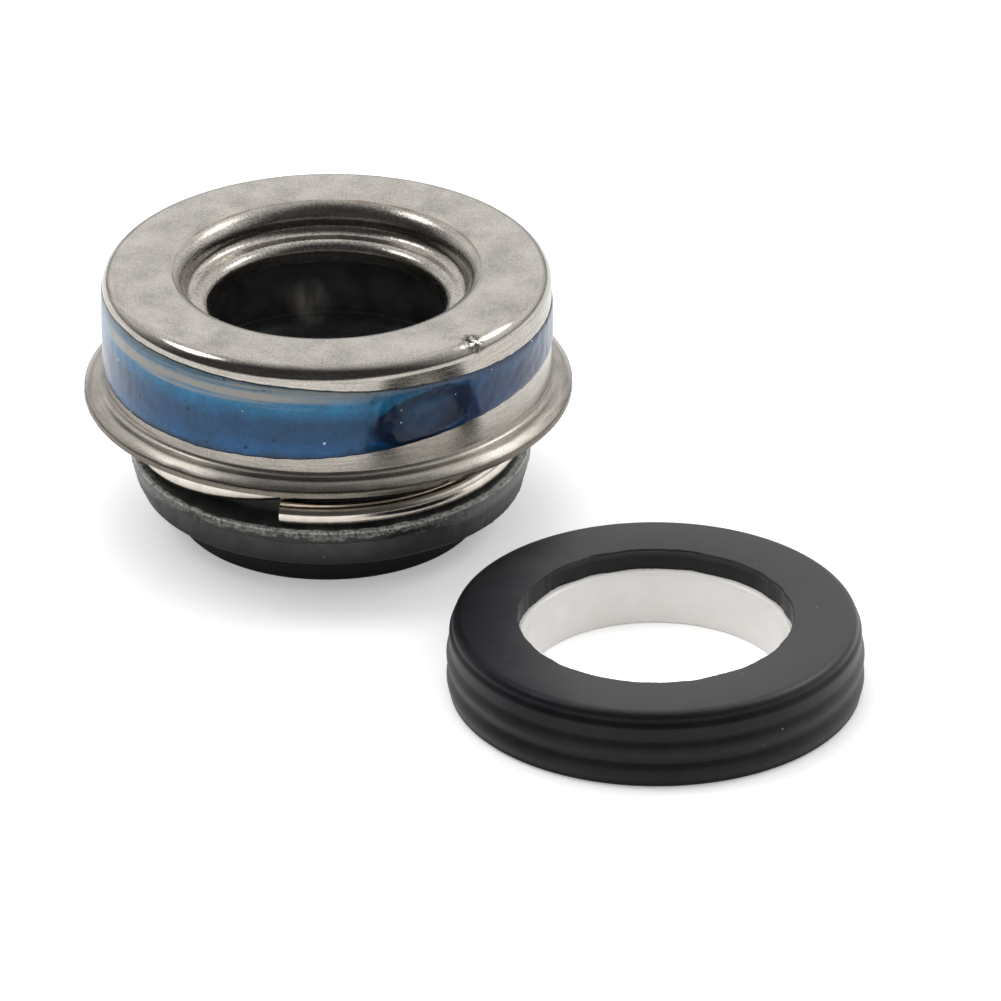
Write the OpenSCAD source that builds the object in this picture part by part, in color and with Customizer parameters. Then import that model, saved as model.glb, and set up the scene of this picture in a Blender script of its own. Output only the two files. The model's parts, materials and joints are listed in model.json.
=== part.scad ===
// Mechanical face seal for a small water pump: a sprung sealing head in a
// press-in case, and the loose mating seat that stands beside it.
// Millimetres, +Z up. The origin is on the head's axis, in its sealing face.

/* [Press-in case] */
// Outside diameter of the drawn wall that is pressed into the pump body
case_d = 28; // [26:0.1:32]
// Height of the case, from under its flange at the wall to its top
case_h = 7.85; // [6.5:0.05:9]
// Thickness of the drawn sheet
sheet = 0.5; // [0.35:0.05:0.65]
// How far the flange stands out from the wall
flange_w = 1.3; // [1.1:0.05:3]
// Flat of the flange, before it slopes down
flange_flat = 0.25; // [0.15:0.05:0.4]
// How far the flange slopes down to its edge
flange_drop = 0.5; // [0.1:0.05:0.7]
// Thickness of the flange at its edge
flange_edge_t = 0.4; // [0.3:0.05:0.5]
// Hollow radius between the wall and the flange
flange_fillet = 0.4; // [0.2:0.05:0.6]
// Round of the outer top edge
edge_round = 1; // [0.8:0.05:1.6]
// Round where the top turns down into the mouth
mouth_round = 0.9; // [0.7:0.05:1.1]
// Depth of the mouth, from the top to the ledge
mouth_depth = 2; // [1.5:0.05:2.4]
// Hollow radius between the mouth's wall and the ledge
ledge_fillet = 0.4; // [0.2:0.05:0.5]
// Flat width of the ledge
ledge_w = 0.4; // [0.1:0.05:1]
// Round where the ledge turns down into the neck
neck_round = 0.7; // [0.65:0.05:0.9]
// Straight length of the neck
neck_len = 0.6; // [0.4:0.05:2]

/* [Sealant film] */
// Thickness of the dried sealant on the wall
film_t = 0.06; // [0.03:0.01:0.15]
// Height of the sealant band
film_h = 4.85; // [2:0.05:5]
// Bare wall above the band, up to where the top edge starts to round
film_top_gap = 0.35; // [0:0.05:0.5]

/* [Spring] */
// Diameter of the wire
wire_d = 1.6; // [1:0.05:1.8]
// Length of the spring between its two seats
spring_len = 10.1; // [8.5:0.05:12]
// Room between the spring and the case's wall
spring_gap = 1.3; // [0.8:0.05:1.6]
// Angle of the wire's lower end, counted from +X
wire_end = -104; // [-180:1:180]
// Angle over which the lower end coil lies flat
lower_flat = 288; // [180:1:330]
// Angle over which the wire climbs
climb = 250; // [220:1:720]
// Angle over which the upper end coil lies flat
upper_flat = 300; // [180:1:330]

/* [Clamp ring] */
// Thickness of the ring's flange
clamp_t = 0.4; // [0.25:0.05:0.6]
// Thickness of the ring's lip
lip_t = 0.35; // [0.25:0.05:0.5]
// Height of the lip below the flange
lip_h = 1.15; // [0.8:0.05:1.4]

/* [Rubber bellows] */
// Thickness of the thin wall
bellows_t = 0.6; // [0.4:0.05:0.8]
// Thickness of the tail that is clamped under the case's top
tail_t = 1.1; // [0.8:0.05:1.4]
// Thickness of the rim that carries the spring
rim_t = 0.8; // [0.5:0.05:1.2]
// How far the rim stands out past the spring
rim_margin = 0.36; // [0.1:0.02:0.8]
// How far the rim overhangs the cup
rim_overhang = 0.59; // [0.3:0.01:0.8]
// Thickness of the cup that holds the sealing ring
cup_t = 0.67; // [0.5:0.01:0.9]
// Radius of the fold's bends, at mid wall
fold_bend = 0.5; // [0.45:0.05:0.7]
// Radius of the fold itself, at mid wall
fold_r = 0.8; // [0.6:0.05:0.9]
// Height from the spring's seat to where the fold begins
fold_start = 1.7; // [1:0.05:3]

/* [Sealing ring] */
// Height of the nose that carries the sealing face
nose_h = 2.36; // [1.5:0.02:3]
// Width of the sealing face
nose_w = 1.37; // [0.9:0.01:1.8]
// Height of the body inside the cup
body_h = 1.79; // [1.4:0.01:2.4]
// How much wider the ring's bore is than the neck, on the radius
bore_step = 0.85; // [0.6:0.01:1.1]
// Bevel of the nose's outer edge
nose_bevel = 0.15; // [0.05:0.05:0.3]

/* [Mating seat] */
// Clear distance between the head's flange and the seat
seat_away = 2.7; // [1:0.1:40]
// Direction of the seat from the head, counted from +X
seat_bearing = -49.13; // [-180:0.01:180]
// Height of the ceramic ring
ceramic_h = 3.61; // [3:0.01:5]
// Width of the ceramic ring from bore to outside
ceramic_w = 2.98; // [2:0.01:4]
// How much wider its bore is than the neck, on the radius
seat_step = 0.57; // [0.3:0.01:1]
// Bevel of the ceramic bore's upper edge
ceramic_bevel = 0.35; // [0.1:0.05:0.5]
// Thickness of the rubber cup's top
seat_top_t = 1.36; // [0.8:0.02:2]
// Thickness of the rubber cup's wall, in its grooves
seat_wall_t = 1.48; // [1.2:0.01:2]
// How far the hole in the cup stands back from the ceramic bore
seat_lip_step = 0.42; // [0.1:0.02:0.8]
// Height of the ceramic left bare below the cup
seat_bare = 0.1; // [0.05:0.05:0.6]
// Number of grip ribs round the cup
rib_count = 3; // [2:1:4]
// Distance from one rib to the next
rib_pitch = 1.45; // [1.3:0.05:1.6]
// Height of the lowest rib's crest above the cup's lower edge
rib_first = 0.95; // [0.6:0.05:1.1]
// Radius of a rib's crest
rib_r = 0.55; // [0.4:0.05:0.6]
// How far a rib stands out of the groove
rib_out = 0.32; // [0.1:0.01:0.4]
// How far the uppermost rib stands back from the others
rib_top_in = 0.18; // [0:0.01:0.25]
// How far the cup's shoulder stands back from the grooves
shoulder_in = 0.05; // [0:0.01:0.3]
// Round of the shoulder
shoulder_round = 0.6; // [0.2:0.05:0.8]

/* [Hidden] */
$fn = 128;

// Clearances between neighbours
wall_clear = 0.15;
lip_clear = 0.05;
wire_clear = 0.1;
seat_play = 0.02;
tail_corner = 0.1;

// How far the clamp ring stands out past the spring
clamp_margin = 0.2;

// Steps of the wire's sweep
wire_sides = 16;
wire_rings_a_turn = 36;

// Heights, from the sealing face up
body_z = nose_h;
rim_z = body_z + body_h;
seat_z = rim_z + rim_t;
clamp_z = seat_z + spring_len;
tail_z = clamp_z + clamp_t;
under_top_z = tail_z + tail_t;
top_z = under_top_z + sheet;
flange_z = top_z - case_h;
flange_edge_z = flange_z + sheet - flange_drop;
ledge_z = top_z - mouth_depth;
neck_z = ledge_z - neck_round - neck_len;

// Radii, from the case's wall inwards
wall_r = case_d / 2;
wall_in_r = wall_r - sheet;
flange_r = wall_r + flange_w;
slope_r = wall_r + flange_fillet + flange_flat;
wire_r = wall_in_r - spring_gap - wire_d / 2;
lip_r = wire_r - wire_d / 2 - wire_clear;
bellows_r = lip_r - lip_t - lip_clear;
bellows_in_r = bellows_r - bellows_t;
mouth_r = bellows_in_r - wall_clear - sheet;
neck_r = mouth_r - ledge_fillet - ledge_w - neck_round;
clamp_r = wire_r + wire_d / 2 + clamp_margin;

// Radii of the sealing end
rim_r = wire_r + wire_d / 2 + rim_margin;
cup_r = rim_r - rim_overhang;
body_r = cup_r - cup_t;
bore_r = neck_r + bore_step;
nose_r = bore_r + nose_w;

// Sealant band
film_top_z = top_z - edge_round - film_top_gap;
film_z = max(film_top_z - film_h, flange_z + sheet + flange_fillet);

// Bellows fold: a loop of the wall that turns in towards the shaft
fold_mid_r = bellows_r - bellows_t / 2;
fold_in_r = fold_mid_r - fold_bend;
fold_z = seat_z + fold_start;
fold_mid_z = fold_z + fold_bend + fold_r;
fold_end_z = fold_mid_z + fold_r + fold_bend;

// Mating seat
seat_bore_r = neck_r + seat_step;
ceramic_r = seat_bore_r + ceramic_w;
groove_r = ceramic_r + seat_wall_t;
crest_r = groove_r + rib_out;
shoulder_r = groove_r - shoulder_in;
seat_lip_r = seat_bore_r + seat_lip_step;
seat_top_z = ceramic_h + seat_top_t;
shoulder_z = seat_bare + rib_first + (rib_count - 1) * rib_pitch;
seat_dist = flange_r + crest_r + seat_away;
seat_at = [seat_dist * cos(seat_bearing), seat_dist * sin(seat_bearing), 0];

// Colours
steel_look = [0.72, 0.70, 0.67];
film_look = [0.17, 0.31, 0.41];
wire_look = [0.78, 0.74, 0.70];
rubber_look = [0.16, 0.16, 0.16];
carbon_look = [0.09, 0.09, 0.09];
ceramic_look = [0.80, 0.78, 0.76];

// A ring's section, given by its two radii and two heights
module strip(r_from, r_to, z_from, z_to)
    translate([r_from, z_from])
        square([r_to - r_from, z_to - z_from]);

// A bend of the sheet in section: a quarter ring that starts at the angle given
module bend(r, z, inner, outer, start)
    translate([r, z])
        rotate(start)
            intersection() {
                difference() {
                    circle(r = outer);
                    circle(r = inner);
                }
                square(outer);
            }

// Drawn case: flange, wall, rounded top, mouth, ledge and neck from one sheet
module case_section() {
    fillet_z = flange_z + sheet + flange_fillet;
    edge_z = top_z - edge_round;
    edge_r = wall_r - edge_round;
    mouth_top_z = top_z - mouth_round;
    mouth_top_r = mouth_r + mouth_round;
    corner_z = ledge_z + ledge_fillet;
    corner_r = mouth_r - ledge_fillet;
    strip(wall_r + flange_fillet, slope_r, flange_z, flange_z + sheet);
    polygon([
        [slope_r, flange_z], [flange_r, flange_edge_z - flange_edge_t],
        [flange_r, flange_edge_z], [slope_r, flange_z + sheet]
    ]);
    bend(wall_r + flange_fillet, fillet_z, flange_fillet, flange_fillet + sheet, 180);
    strip(wall_in_r, wall_r, fillet_z, edge_z);
    bend(edge_r, edge_z, edge_round - sheet, edge_round, 0);
    strip(mouth_top_r, edge_r, under_top_z, top_z);
    bend(mouth_top_r, mouth_top_z, mouth_round - sheet, mouth_round, 90);
    strip(mouth_r, mouth_r + sheet, corner_z, mouth_top_z);
    bend(corner_r, corner_z, ledge_fillet, ledge_fillet + sheet, 270);
    strip(neck_r + neck_round, corner_r, ledge_z - sheet, ledge_z);
    bend(neck_r + neck_round, ledge_z - neck_round, neck_round - sheet, neck_round, 90);
    strip(neck_r, neck_r + sheet, neck_z, ledge_z - neck_round);
}

module case()
    color(steel_look)
        rotate_extrude()
            case_section();

// Band of dried sealant on the case's wall
module sealant_film()
    color(film_look)
        rotate_extrude()
            strip(wall_r, wall_r + film_t, film_z, film_top_z);

// Height, slope and place of the wire at an angle from its lower end
function climb_at(a) = min(max((a - lower_flat) / climb, 0), 1);
function wire_rise(a) = let (t = climb_at(a)) t * t * (3 - 2 * t);
function wire_slope(a) = let (t = climb_at(a)) 6 * t * (1 - t) / climb * 180 / PI;
wire_low_z = seat_z + wire_d / 2;
wire_travel = spring_len - wire_d - seat_play;
function wire_z(a) = wire_low_z + wire_travel * wire_rise(a);
function wire_pitch(a) = atan2(wire_travel * wire_slope(a), wire_r);

// One point on the wire's skin: a is along the wire, s is round it
function wire_point(a, s) =
    let (
        turn = wire_end + a,
        out = wire_r + wire_d / 2 * cos(s),
        up = wire_d / 2 * sin(s),
        lean = wire_pitch(a)
    )
    [
        out * cos(turn) + up * sin(lean) * sin(turn),
        out * sin(turn) - up * sin(lean) * cos(turn),
        wire_z(a) + up * cos(lean)
    ];

// Coil spring: flat end coils, with the climb between them
module spring() {
    whole = lower_flat + climb + upper_flat;
    rings = ceil(whole / 360 * wire_rings_a_turn);
    points = [
        for (i = [0:rings], j = [0:wire_sides - 1])
            wire_point(whole * i / rings, 360 * j / wire_sides)
    ];
    skin = [
        for (i = [0:rings - 1], j = [0:wire_sides - 1])
            let (
                k = (j + 1) % wire_sides,
                low = i * wire_sides,
                high = low + wire_sides
            )
            [low + j, high + j, high + k, low + k]
    ];
    first = [for (j = [0:wire_sides - 1]) j];
    last = [for (j = [wire_sides - 1:-1:0]) rings * wire_sides + j];
    color(wire_look)
        polyhedron(points, concat([first], skin, [last]), convexity = 6);
}

// Clamp ring: upper seat of the spring, with a lip that centres the bellows
module clamp_ring()
    color(steel_look)
        rotate_extrude() {
            strip(lip_r - lip_t, clamp_r, clamp_z, tail_z);
            strip(lip_r - lip_t, lip_r, clamp_z - lip_h, clamp_z);
        }

// Fold of the bellows in section: a loop between two bends
module fold_section() {
    half = bellows_t / 2;
    bend(fold_in_r, fold_z, fold_bend - half, fold_bend + half, 0);
    bend(fold_in_r, fold_mid_z, fold_r - half, fold_r + half, 90);
    bend(fold_in_r, fold_mid_z, fold_r - half, fold_r + half, 180);
    bend(fold_in_r, fold_end_z, fold_bend - half, fold_bend + half, 270);
}

// Rubber bellows: cup, spring rim, thin folded wall and clamped tail
module bellows()
    color(rubber_look)
        rotate_extrude() {
            mouth_corner_z = top_z - mouth_round;
            strip(body_r, cup_r, body_z, rim_z);
            strip(bellows_in_r, rim_r, rim_z, seat_z);
            strip(bellows_in_r, bellows_r, seat_z, fold_z);
            fold_section();
            strip(bellows_in_r, bellows_r, fold_end_z, tail_z);
            strip(bellows_in_r, clamp_r, tail_z, mouth_corner_z);
            strip(mouth_r + mouth_round + tail_corner, clamp_r, mouth_corner_z, under_top_z);
        }

// Carbon sealing ring: a body held in the cup and a narrow nose below it
module carbon_ring()
    color(carbon_look)
        rotate_extrude() {
            strip(bore_r, body_r, body_z, rim_z);
            difference() {
                strip(bore_r, nose_r, 0, body_z);
                translate([nose_r, 0])
                    rotate(45)
                        square(nose_bevel * sqrt(2), center = true);
            }
        }

// Ceramic ring of the seat
module ceramic_ring()
    color(ceramic_look)
        translate(seat_at)
            rotate_extrude()
                difference() {
                    strip(seat_bore_r, ceramic_r, 0, ceramic_h);
                    translate([seat_bore_r, ceramic_h])
                        rotate(45)
                            square(ceramic_bevel * sqrt(2), center = true);
                }

// Rubber cup of the seat: a flat top over the ceramic and a ribbed wall
module seat_cup_section() {
    strip(ceramic_r, groove_r, seat_bare, shoulder_z);
    strip(ceramic_r, shoulder_r, shoulder_z, seat_top_z - shoulder_round);
    strip(seat_lip_r, shoulder_r - shoulder_round, ceramic_h, seat_top_z);
    strip(seat_lip_r, shoulder_r, ceramic_h, seat_top_z - shoulder_round);
    translate([shoulder_r - shoulder_round, seat_top_z - shoulder_round])
        circle(r = shoulder_round);
    for (i = [0:rib_count - 2])
        translate([crest_r - rib_r, seat_bare + rib_first + i * rib_pitch])
            circle(r = rib_r);
    translate([crest_r - rib_top_in - rib_r, shoulder_z])
        circle(r = rib_r);
}

module seat_cup()
    color(rubber_look)
        translate(seat_at)
            rotate_extrude()
                seat_cup_section();

case();
sealant_film();
spring();
clamp_ring();
bellows();
carbon_ring();
ceramic_ring();
seat_cup();
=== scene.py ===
import json
import math

import bmesh
import bpy
from mathutils import Matrix, Vector, noise


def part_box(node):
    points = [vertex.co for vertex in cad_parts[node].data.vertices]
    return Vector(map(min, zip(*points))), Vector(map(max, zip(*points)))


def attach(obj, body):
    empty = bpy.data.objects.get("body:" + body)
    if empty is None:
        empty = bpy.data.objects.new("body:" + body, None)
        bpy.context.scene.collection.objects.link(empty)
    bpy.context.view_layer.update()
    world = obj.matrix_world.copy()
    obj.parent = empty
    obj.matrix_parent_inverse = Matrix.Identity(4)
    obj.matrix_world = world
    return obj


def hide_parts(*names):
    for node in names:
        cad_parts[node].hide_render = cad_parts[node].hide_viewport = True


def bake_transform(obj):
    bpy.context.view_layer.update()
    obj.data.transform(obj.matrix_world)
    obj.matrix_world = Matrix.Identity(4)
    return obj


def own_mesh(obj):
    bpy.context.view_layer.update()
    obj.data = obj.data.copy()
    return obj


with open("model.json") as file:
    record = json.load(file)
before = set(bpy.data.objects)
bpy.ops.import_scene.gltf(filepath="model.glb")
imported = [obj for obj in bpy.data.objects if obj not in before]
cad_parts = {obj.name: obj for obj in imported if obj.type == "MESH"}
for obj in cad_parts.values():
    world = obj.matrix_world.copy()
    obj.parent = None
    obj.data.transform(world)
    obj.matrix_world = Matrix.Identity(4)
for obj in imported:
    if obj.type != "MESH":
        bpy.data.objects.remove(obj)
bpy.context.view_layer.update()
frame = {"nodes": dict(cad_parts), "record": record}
mm = 0.001


def linear(hexCode):  # sRGB hex to the linear colour that the shaders take
    parts = [int(hexCode[i:i + 2], 16) / 255 for i in (1, 3, 5)]
    return [c / 12.92 if c <= 0.04045 else ((c + 0.055) / 1.055) ** 2.4 for c in parts] + [1.0]


def grey(level):
    return [level, level, level, 1.0]


# adds a node with its settings, socket values and links; stops are those of a colour ramp
def addNode(tree, kind, inputs=None, links=None, stops=(), **settings):
    made = tree.nodes.new("ShaderNode" + kind if tree.bl_idname == "ShaderNodeTree" else kind)
    for name, value in settings.items():
        setattr(made, name, value)
    for i, (place, colour) in enumerate(stops):
        stop = made.color_ramp.elements[i] if i < 2 else made.color_ramp.elements.new(place)
        stop.position, stop.color = place, colour
    for socket, value in (inputs or {}).items():
        made.inputs[socket].default_value = value
    for socket, source in (links or {}).items():
        tree.links.new(source, made.inputs[socket])
    return made


def newMaterial(name, **sockets):
    made = bpy.data.materials.new(name)
    made.use_nodes = True
    tree = made.node_tree
    shader = tree.nodes["Principled BSDF"]
    for socket, value in sockets.items():
        shader.inputs[socket.replace("_", " ")].default_value = value
    coords = addNode(tree, "TexCoord").outputs["Object"]
    return made, tree, shader, coords


def axisReach(tree, place):  # distance from the upright axis
    level = addNode(tree, "CombineXYZ", links={"X": place["X"], "Y": place["Y"]}).outputs["Vector"]
    return addNode(tree, "VectorMath", links={0: level}, operation="LENGTH").outputs["Value"]


def frontTurn(tree, place):  # turn round the axis in radians, 0 at the front and positive to the right
    ahead = addNode(tree, "Math", {1: -1.0}, {0: place["Y"]}, operation="MULTIPLY").outputs[0]
    return addNode(tree, "Math", links={0: place["X"], 1: ahead}, operation="ARCTAN2").outputs[0]


# depth inside scattered spots: a cell, given by its width in mm, holds a spot of its own size,
# or none where its chance is below the least
def spotDepth(tree, vector, cell, least, largest, share=None):
    cells = addNode(tree, "TexVoronoi", {"Scale": 1 / (cell * mm)}, {"Vector": vector}).outputs
    chance = addNode(tree, "SeparateXYZ", links={"Vector": cells["Color"]}).outputs["X"]
    size = addNode(tree, "MapRange", {"From Min": least, "From Max": 1.0, "To Max": largest}, {"Value": chance}).outputs["Result"]
    if share:
        size = addNode(tree, "Math", links={0: size, 1: share}, operation="MULTIPLY").outputs[0]
    return addNode(tree, "Math", links={0: size, 1: cells["Distance"]}, operation="SUBTRACT").outputs[0]


# arc of a section, in mm and degrees
def arc(r, z, radius, start, end, steps=8):
    turns = [math.radians(start + (end - start) * i / steps) for i in range(steps + 1)]
    return [(r + radius * math.cos(a), z + radius * math.sin(a)) for a in turns]


# closed section (mm) turned round an upright axis; shape() may move each point a little
def revolve(name, section, material, centre=(0, 0), segments=320, shape=None, sharp=32):
    build = bmesh.new()
    rings = []
    for i in range(segments):
        turn = 2 * math.pi * i / segments
        ring = []
        for r, z in section:
            if shape:
                r, z = shape(r, z, turn)
            ring.append(build.verts.new((centre[0] + r * mm * math.cos(turn), centre[1] + r * mm * math.sin(turn), z * mm)))
        rings.append(ring)
    count = len(section)
    for i in range(segments):
        near, far = rings[i], rings[(i + 1) % segments]
        for j in range(count):
            k = (j + 1) % count
            build.faces.new((near[j], far[j], far[k], near[k]))
    bmesh.ops.recalc_face_normals(build, faces=build.faces)
    mesh = bpy.data.meshes.new(name)
    build.to_mesh(mesh)
    build.free()
    mesh.polygons.foreach_set("use_smooth", [True] * len(mesh.polygons))
    mesh.set_sharp_from_angle(angle=math.radians(sharp))
    mesh.materials.append(material)
    made = bpy.data.objects.new(name, mesh)
    bpy.context.scene.collection.objects.link(made)
    return made


def wobble(turn, scale, seed, strength):  # smooth closed waviness round a ring
    return strength * noise.noise(Vector((scale * math.cos(turn), scale * math.sin(turn), seed)))


def fromFront(turn):  # degrees round the axis, 0 at the front and positive to the right
    return math.degrees(math.atan2(math.cos(turn), -math.sin(turn)))


# sizes read from the frame, in mm
caseLow, caseHigh = [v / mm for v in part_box("case")]
springLow, springHigh = [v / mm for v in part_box("spring")]
bellowsLow, bellowsHigh = [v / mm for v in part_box("bellows")]
seatLow, seatHigh = [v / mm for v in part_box("seat_cup")]
ceramicLow, ceramicHigh = [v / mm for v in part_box("ceramic_ring")]
carbonLow, carbonHigh = [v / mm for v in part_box("carbon_ring")]
seatCentre = ((seatLow.x + seatHigh.x) / 2 * mm, (seatLow.y + seatHigh.y) / 2 * mm)
seatRadius = (seatHigh.x - seatLow.x) / 2
ceramicRadius = (ceramicHigh.x - ceramicLow.x) / 2
mounts = {m["name"]: m for m in frame["record"]["mounts"]}
neckRadius = mounts["neck_bore"]["dims"]["r_mm"]
boreRadius = mounts["face_bore"]["dims"]["r_mm"]
seatBoreRadius = mounts["seat_bore"]["dims"]["r_mm"]
print("frame loaded")


# case
caseShape = {
    "wallR": 14.0, "height": 7.85, "sheet": 0.5, "fillet": 0.4, "flangeFlat": 0.25, "flangeDrop": 0.5,
    "edgeRound": 1.0, "mouthRound": 1.25, "mouthDepth": 2.0, "ledgeFillet": 0.6,
    "ledgeFlat": 0.2, "neckRound": 0.7, "neckLength": 0.6, "burr": 0.05,
}
steelLook = {
    "dark": "#bfb9b1", "pale": "#c8c2ba", "cloud": 2.2, "grain": 0.1, "rough": (0.07, 0.2), "peened": 0.1,
    "satin": (12.6, 9.4), "flangeRough": 0.18, "lowRise": (1.7, 3.3), "low": "#ebeae8", "sheared": "#bbb8b3",
    "lipR": 9.6, "burnished": "#7d6a58", "nickAt": (9.0, -10.0, 16.72), "nickSize": 0.95,
}


def drawnSteel(s):
    # drawn stainless sheet: a bright edge, a satin and peened mouth, drawing lines and one nick
    made, tree, shader, coords = newMaterial("drawnStainless", Metallic=1.0)
    cloud = addNode(tree, "TexNoise", {"Scale": 1 / (s["cloud"] * mm), "Detail": 5.0}, {"Vector": coords}).outputs["Fac"]
    tint = addNode(tree, "ValToRGB", links={"Fac": cloud},
                   stops=[(0.3, linear(s["dark"])), (0.7, linear(s["pale"]))]).outputs["Color"]
    grain = addNode(tree, "TexNoise", {"Scale": 1 / (s["grain"] * mm), "Detail": 2.0}, {"Vector": coords}).outputs["Fac"]
    # lines left by the drawing die, which run round the walls
    drawn = addNode(tree, "Mapping", {"Scale": (0.05, 0.05, 1.0)}, {"Vector": coords}).outputs["Vector"]
    lines = addNode(tree, "TexNoise", {"Scale": 1 / (0.12 * mm), "Detail": 2.0}, {"Vector": drawn}).outputs["Fac"]
    worn = addNode(tree, "Mix", {"Factor": 0.45}, {"A": grain, "B": lines}).outputs["Result"]
    salt = addNode(tree, "ValToRGB", links={"Fac": worn}, stops=[(0.36, grey(0.58)), (0.6, grey(1.0))]).outputs["Color"]
    skin = addNode(tree, "Mix", {"Factor": 1.0}, {"A": tint, "B": salt}, data_type="RGBA",
                   blend_type="MULTIPLY").outputs["Result"]
    place = addNode(tree, "SeparateXYZ", links={"Vector": coords}).outputs
    reach = axisReach(tree, place)
    # duller below the sealant, and darkest on the sheared edge
    foot, bare = [caseLow.z + rise for rise in s["lowRise"]]
    low = addNode(tree, "MapRange", {"From Min": bare * mm, "From Max": foot * mm}, {"Value": place["Z"]}).outputs["Result"]
    skin = addNode(tree, "Mix", {"B": linear(s["low"])}, {"Factor": low, "A": skin}, data_type="RGBA",
                   blend_type="MULTIPLY").outputs["Result"]
    edge = addNode(tree, "MapRange", {"From Min": (caseHigh.x - 0.12) * mm, "From Max": (caseHigh.x - 0.06) * mm},
                   {"Value": reach}).outputs["Result"]
    skin = addNode(tree, "Mix", {"B": linear(s["sheared"])}, {"Factor": edge, "A": skin}, data_type="RGBA",
                   blend_type="MULTIPLY").outputs["Result"]
    # a coarse peened grain in the mouth, and a brown line burnished round its lip
    inside = addNode(tree, "MapRange", {"From Min": (s["lipR"] + 0.1) * mm, "From Max": (s["lipR"] - 0.4) * mm},
                     {"Value": reach}).outputs["Result"]
    peen = addNode(tree, "TexNoise", {"Scale": 1 / (0.2 * mm), "Detail": 1.0}, {"Vector": coords}).outputs["Fac"]
    pepper = addNode(tree, "ValToRGB", links={"Fac": peen}, stops=[(0.34, grey(0.8)), (0.6, grey(1.0))]).outputs["Color"]
    skin = addNode(tree, "Mix", links={"Factor": inside, "A": skin, "B": pepper}, data_type="RGBA",
                   blend_type="MULTIPLY").outputs["Result"]
    lip = addNode(tree, "Math", {1: s["lipR"] * mm, 2: 0.07 * mm}, {0: reach}, operation="COMPARE").outputs[0]
    patchy = addNode(tree, "MapRange", {"From Min": 0.4, "From Max": 0.6, "To Min": 0.15, "To Max": 0.7},
                     {"Value": cloud}).outputs["Result"]
    lip = addNode(tree, "Math", links={0: lip, 1: patchy}, operation="MULTIPLY").outputs[0]
    skin = addNode(tree, "Mix", {"B": linear(s["burnished"])}, {"Factor": lip, "A": skin}, data_type="RGBA").outputs["Result"]
    # nick knocked into the top edge, dented by the bump and painted dark as shade in the dent
    away = addNode(tree, "VectorMath", {1: [v * mm for v in s["nickAt"]]}, {0: coords}, operation="DISTANCE").outputs["Value"]
    near = addNode(tree, "MapRange", {"From Min": s["nickSize"] * mm, "From Max": s["nickSize"] * 0.4 * mm},
                   {"Value": away}).outputs["Result"]
    chips = addNode(tree, "TexNoise", {"Scale": 1 / (0.35 * mm), "Detail": 2.0}, {"Vector": coords}).outputs["Fac"]
    chip = addNode(tree, "ValToRGB", links={"Fac": chips}, stops=[(0.46, grey(0.0)), (0.54, grey(1.0))]).outputs["Color"]
    dent = addNode(tree, "Math", links={0: near, 1: chip}, operation="MULTIPLY").outputs[0]
    marked = addNode(tree, "Mix", {"B": linear("#4b4846")}, {"Factor": dent, "A": skin}, data_type="RGBA").outputs["Result"]
    tree.links.new(marked, shader.inputs["Base Color"])
    # roughest in the mouth and on the flange
    rough = addNode(tree, "MapRange", {"To Min": s["rough"][0], "To Max": s["rough"][1]}, {"Value": worn}).outputs["Result"]
    mouth = addNode(tree, "MapRange", {"From Min": s["satin"][0] * mm, "From Max": s["satin"][1] * mm, "To Max": s["peened"]},
                    {"Value": reach}).outputs["Result"]
    rough = addNode(tree, "Math", links={0: rough, 1: mouth}, operation="ADD").outputs[0]
    rough = addNode(tree, "Math", {1: s["flangeRough"]}, {0: low, 2: rough}, operation="MULTIPLY_ADD").outputs[0]
    tree.links.new(rough, shader.inputs["Roughness"])
    relief = addNode(tree, "Mix", links={"Factor": inside, "A": worn, "B": peen}).outputs["Result"]
    height = addNode(tree, "Math", {1: -6.0}, {0: dent, 2: relief}, operation="MULTIPLY_ADD").outputs[0]
    blows = addNode(tree, "MapRange", {"From Max": s["peened"], "To Min": 0.15, "To Max": 0.55},
                    {"Value": mouth}).outputs["Result"]
    bump = addNode(tree, "Bump", {"Distance": 0.02 * mm}, {"Height": height, "Strength": blows}).outputs["Normal"]
    tree.links.new(bump, shader.inputs["Normal"])
    return made


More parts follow.
